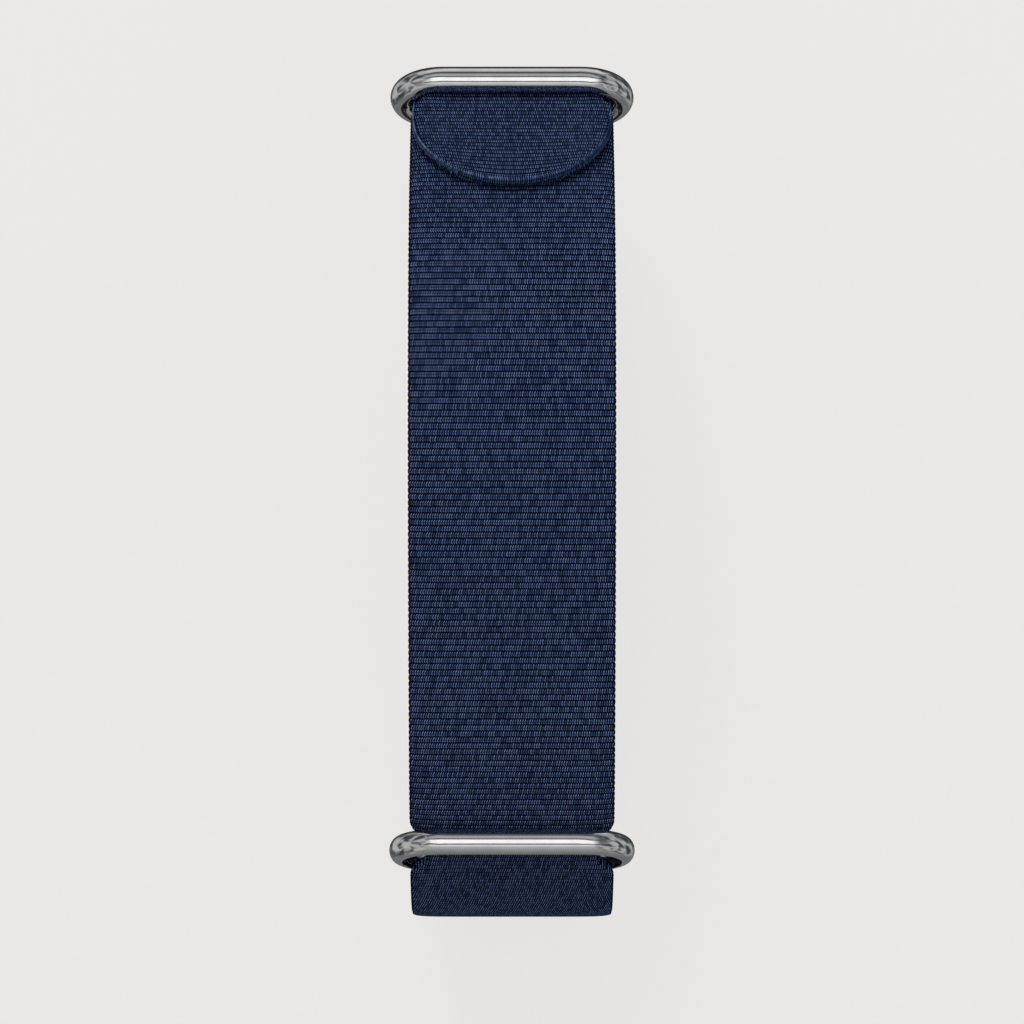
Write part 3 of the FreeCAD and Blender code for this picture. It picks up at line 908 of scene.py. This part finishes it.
def steel_ring(name, pivot, far_bar, sizes, material, body, replaced):
    """A polished ring: two bars and two half-round ends with an oval section."""
    straight = sizes.width - sizes.flat - sizes.pitch
    bar_steps = 6
    weld = 0.002 * MM
    bm = bmesh.new()
    circle = bmesh.ops.create_circle(bm, cap_ends=False, segments=48, radius=0.5)
    shape = Matrix.Translation((straight / 2, 0.0, 0.0)) @ Matrix.Rotation(math.pi / 2, 4, "Y")
    shape = shape @ Matrix.Diagonal((sizes.deep, sizes.flat, 1.0, 1.0))
    bmesh.ops.transform(bm, matrix=shape, verts=circle["verts"])
    bmesh.ops.spin(
        bm, geom=bm.edges[:], cent=(straight / 2, sizes.pitch / 2, 0.0), axis=(0, 0, 1), dvec=(0, 0, 0),
        angle=math.pi, steps=44, use_duplicate=False)
    for _ in range(bar_steps):
        rim = [edge for edge in bm.edges if edge.is_boundary]
        grown = bmesh.ops.extrude_edge_only(bm, edges=rim)["geom"]
        verts = [part for part in grown if isinstance(part, bmesh.types.BMVert)]
        bmesh.ops.translate(bm, verts=verts, vec=(-straight / 2 / bar_steps, 0.0, 0.0))
    bmesh.ops.mirror(bm, geom=bm.verts[:] + bm.edges[:] + bm.faces[:], axis="X", merge_dist=weld)
    bmesh.ops.remove_doubles(bm, verts=bm.verts, dist=weld)
    angle = math.atan2(far_bar.z - pivot.z, far_bar.y - pivot.y)
    place = Matrix.Translation(pivot) @ Matrix.Rotation(angle, 4, "X")
    bmesh.ops.transform(bm, matrix=place, verts=bm.verts)
    bmesh.ops.recalc_face_normals(bm, faces=bm.faces)
    return new_piece(name, bm, material, body, [replaced])


class BAND_OT_rings(bpy.types.Operator):
    """Bend and polish the adjuster ring and the keeper ring"""

    bl_idname = "band.rings"
    bl_label = "Bend the two rings"

    def execute(self, context):
        sizes = context.scene.band_rings
        steel = polished("mirror_steel", sizes.steel, 0.05, 0.26 * MM, 7.0 * MM)
        for node, body, joint in (
                ("adjuster_ring", "adjuster", "adjuster_ring_swing"),
                ("keeper_ring", "keeper", "keeper_ring_swing")):
            pivot = Vector(JOINTS[joint]["pos_m"])
            pivot.x = 0.0
            far_bar = middle(node) * 2 - pivot
            far_bar.x = 0.0
            steel_ring("polished_" + node, pivot, far_bar, sizes, steel, body, node)
        return {"FINISHED"}


class BAND_OT_pod(bpy.types.Operator):
    """Finish the cradle, the pod's shells and everything inside them"""

    bl_idname = "band.pod"
    bl_label = "Finish the pod"

    def execute(self, context):
        dark = (0.018, 0.02, 0.025)
        steel = (0.5, 0.5, 0.51)
        finishes = {
            "pod_cradle": brushed("cradle_brushed_steel", (0.42, 0.43, 0.45)),
            "pod_case": moulded("case_moulding", dark),
            "pod_lid": moulded("lid_moulding", (0.012, 0.013, 0.017), 0.3, 0.004, 7000.0, 0.4),
            "pod_seal": moulded("seal_rubber", (0.03, 0.03, 0.032), 0.8, 0.02),
            "sensor_window": smoked_glass("window_glass", (0.02, 0.022, 0.028)),
            "light_barrier": moulded("barrier_moulding", (0.006, 0.006, 0.007), 0.7),
            "green_leds": moulded("led_lens", (0.25, 0.72, 0.3), 0.12, 0.002, 9000.0, 0.8),
            "photodiodes": moulded("diode_glass", (0.05, 0.03, 0.07), 0.15, 0.002, 9000.0, 0.8),
            "sensor_board": circuit("sensor_solder_mask", (0.008, 0.05, 0.022)),
            "main_board": circuit("main_solder_mask", (0.006, 0.035, 0.05)),
            "processor_chips": moulded("chip_epoxy", (0.015, 0.015, 0.016), 0.5, 0.003, 12000.0),
            "radio_shield": brushed("shield_tin", (0.66, 0.65, 0.6), 0.3),
            "battery": brushed("battery_foil", (0.6, 0.61, 0.63), 0.42),
            "battery_pad": moulded("pad_foam", (0.06, 0.06, 0.065), 0.95, 0.06, 2600.0),
            "motor_can": brushed("motor_nickel", steel, 0.25),
            "motor_base": brushed("motor_base_nickel", steel, 0.32),
            "vibration_rotor": brushed("rotor_tungsten", (0.3, 0.3, 0.31), 0.4),
            "charge_contacts": polished("contact_gold", (0.9, 0.62, 0.22), 0.14, 0.01 * MM),
            "temperature_sensor": polished("sensor_steel", (0.6, 0.6, 0.6), 0.2, 0.01 * MM),
            "board_screws": brushed("screw_steel", (0.35, 0.35, 0.36), 0.3),
            "flex_cable": moulded("flex_film", (0.5, 0.22, 0.05), 0.35, 0.004, 9000.0, 0.3),
            "antenna_strip": brushed("antenna_copper", (0.75, 0.35, 0.2), 0.35),
        }
        for node, material in finishes.items():
            slots = frame["nodes"][node].data.materials
            slots.clear()
            slots.append(material)
        return {"FINISHED"}


# ---- stage -------------------------------------------------------------------------------
# What the polished steel reflects: degrees from overhead towards +Y, and how bright.
STUDIO = (
    (-180, 0.16), (-130, 0.18), (-90, 0.22), (-60, 0.32), (-32, 0.46), (-20, 0.78), (-12, 0.62),
    (-9, 0.06), (-5, 0.05), (-1, 1.15), (25, 1.15), (28, 0.09), (32, 0.09), (37, 0.4),
    (52, 0.44), (59, 0.1), (71, 0.1), (80, 0.6), (104, 0.7), (116, 0.1), (130, 0.03), (180, 0.05),
)
# Where each lamp stands, how wide it is and how many watts it gives.
LAMPS = {"key": ((-0.12, 0.5, 0.62), 0.34, 2.6), "fill": ((0.3, -0.3, 0.8), 0.6, 0.5)}
LAMP_TARGET = Vector((0.0, 0.0, 0.03))


class BAND_OT_stage(bpy.types.Operator):
    """Lay the floor, light the studio and set the camera"""

    bl_idname = "band.stage"
    bl_label = "Set the stage"

    def execute(self, context):
        sizes = context.scene.band_stage
        self.floor(sizes)
        self.studio(context.scene)
        self.lamps(context.scene)
        self.camera(context.scene, sizes)
        context.scene.view_settings.view_transform = "Standard"
        return {"FINISHED"}

    def floor(self, sizes):
        """Pale paper that lights itself, and gives the band and the steel nothing."""
        bm = bmesh.new()
        bmesh.ops.create_grid(bm, x_segments=1, y_segments=1, size=sizes.floor_size / 2)
        material, made = finish("floor_paper")
        tooth = made.noise(made.place(), 900.0, 3.0)
        tint = made.mix(tooth, tuple(c * 0.985 for c in sizes.floor_colour), sizes.floor_colour)
        paper = made.mix(tooth, tuple(c * 0.12 for c in sizes.floor_colour), (0.1, 0.1, 0.1))
        close(
            made, base_color=paper, roughness=0.95, emission_color=tint,
            emission_strength=sizes.floor_glow)
        mesh = bpy.data.meshes.new("floor")
        bm.to_mesh(mesh)
        bm.free()
        mesh.materials.append(material)
        floor = bpy.data.objects.new("floor", mesh)
        floor.location.z = -0.2 * MM
        floor.visible_glossy = False
        floor.visible_diffuse = False
        bpy.context.scene.collection.objects.link(floor)

    def studio(self, scene):
        """Bands of light overhead that run along X, hazy towards the band's two sides."""
        world = bpy.data.worlds.new("studio")
        world.use_nodes = True
        scene.world = world
        made = Finish(world.node_tree)
        heading = made.node("ShaderNodeTexCoord", output=0)
        x, y, z = made.split(heading)
        share = y.maths("ARCTAN2", z) / math.tau + 0.5
        stops = [((degrees + 180) / 360, (grey, grey, grey, 1.0)) for degrees, grey in STUDIO]
        light = made.node("ShaderNodeValToRGB", {"stops": stops}, {0: share})
        haze = made.noise(heading, 2.4, 1.0).ramp(0.36, 0.66)
        ends = made.mix(haze, (0.05, 0.055, 0.065), (0.5, 0.5, 0.5))
        light = made.mix(x.absolute().ramp(0.3, 0.8), light, ends)
        backdrop = made.node("ShaderNodeBackground", {}, {"Color": light, "Strength": 1.0})
        made.node("ShaderNodeOutputWorld", {}, {0: backdrop})

    def lamps(self, scene):
        """Soft round lamps that light the cloth and don't show in the steel."""
        for name, (place, size, watts) in LAMPS.items():
            lamp = bpy.data.lights.new(name, "AREA")
            lamp.shape = "DISK"
            lamp.size = size
            lamp.energy = watts
            lamp.specular_factor = 0.0
            item = bpy.data.objects.new(name, lamp)
            item.location = place
            item.rotation_euler = (LAMP_TARGET - Vector(place)).to_track_quat("-Z", "Y").to_euler()
            item.visible_glossy = False
            scene.collection.objects.link(item)

    def camera(self, scene, sizes):
        """Straight down over the strap's front."""
        lens = bpy.data.cameras.new("camera")
        lens.sensor_width = 36.0
        lens.lens = lens.sensor_width * sizes.camera_height / sizes.view_width
        lens.clip_start = 0.01
        camera = bpy.data.objects.new("camera", lens)
        camera.location = (0.0, sizes.view_offset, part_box("strap_front")[1].z + sizes.camera_height)
        scene.collection.objects.link(camera)
        scene.camera = camera


# ---- add-on ------------------------------------------------------------------------------
class BAND_PT_panel(bpy.types.Panel):
    """Everything the band is built from, in order"""

    bl_label = "Fitness band"
    bl_idname = "BAND_PT_panel"
    bl_space_type = "VIEW_3D"
    bl_region_type = "UI"
    bl_category = "Band"

    def draw(self, context):
        for operator in OPERATORS:
            self.layout.operator(operator.bl_idname)
        for name in ("band_strap", "band_rings", "band_stage"):
            settings = getattr(context.scene, name)
            for key in settings.bl_rna.properties.keys():
                if key not in ("name", "rna_type"):
                    self.layout.prop(settings, key)


OPERATORS = (
    BAND_OT_strap, BAND_OT_rim, BAND_OT_hooks, BAND_OT_anchor, BAND_OT_rings, BAND_OT_pod, BAND_OT_stage,
)
SETTINGS = {"band_strap": StrapSettings, "band_rings": RingSettings, "band_stage": StageSettings}


def register():
    for name, kind in SETTINGS.items():
        bpy.utils.register_class(kind)
        setattr(bpy.types.Scene, name, bpy.props.PointerProperty(type=kind))
    for kind in (*OPERATORS, BAND_PT_panel):
        bpy.utils.register_class(kind)


def unregister():
    for kind in (BAND_PT_panel, *reversed(OPERATORS)):
        bpy.utils.unregister_class(kind)
    for name, kind in SETTINGS.items():
        delattr(bpy.types.Scene, name)
        bpy.utils.unregister_class(kind)


def main():
    register()
    bpy.ops.band.strap()
    bpy.ops.band.rim()
    bpy.ops.band.hooks()
    bpy.ops.band.anchor()
    bpy.ops.band.rings()
    bpy.ops.band.pod()
    bpy.ops.band.stage()
    bpy.context.view_layer.update()


if __name__ == "__main__":
    main()
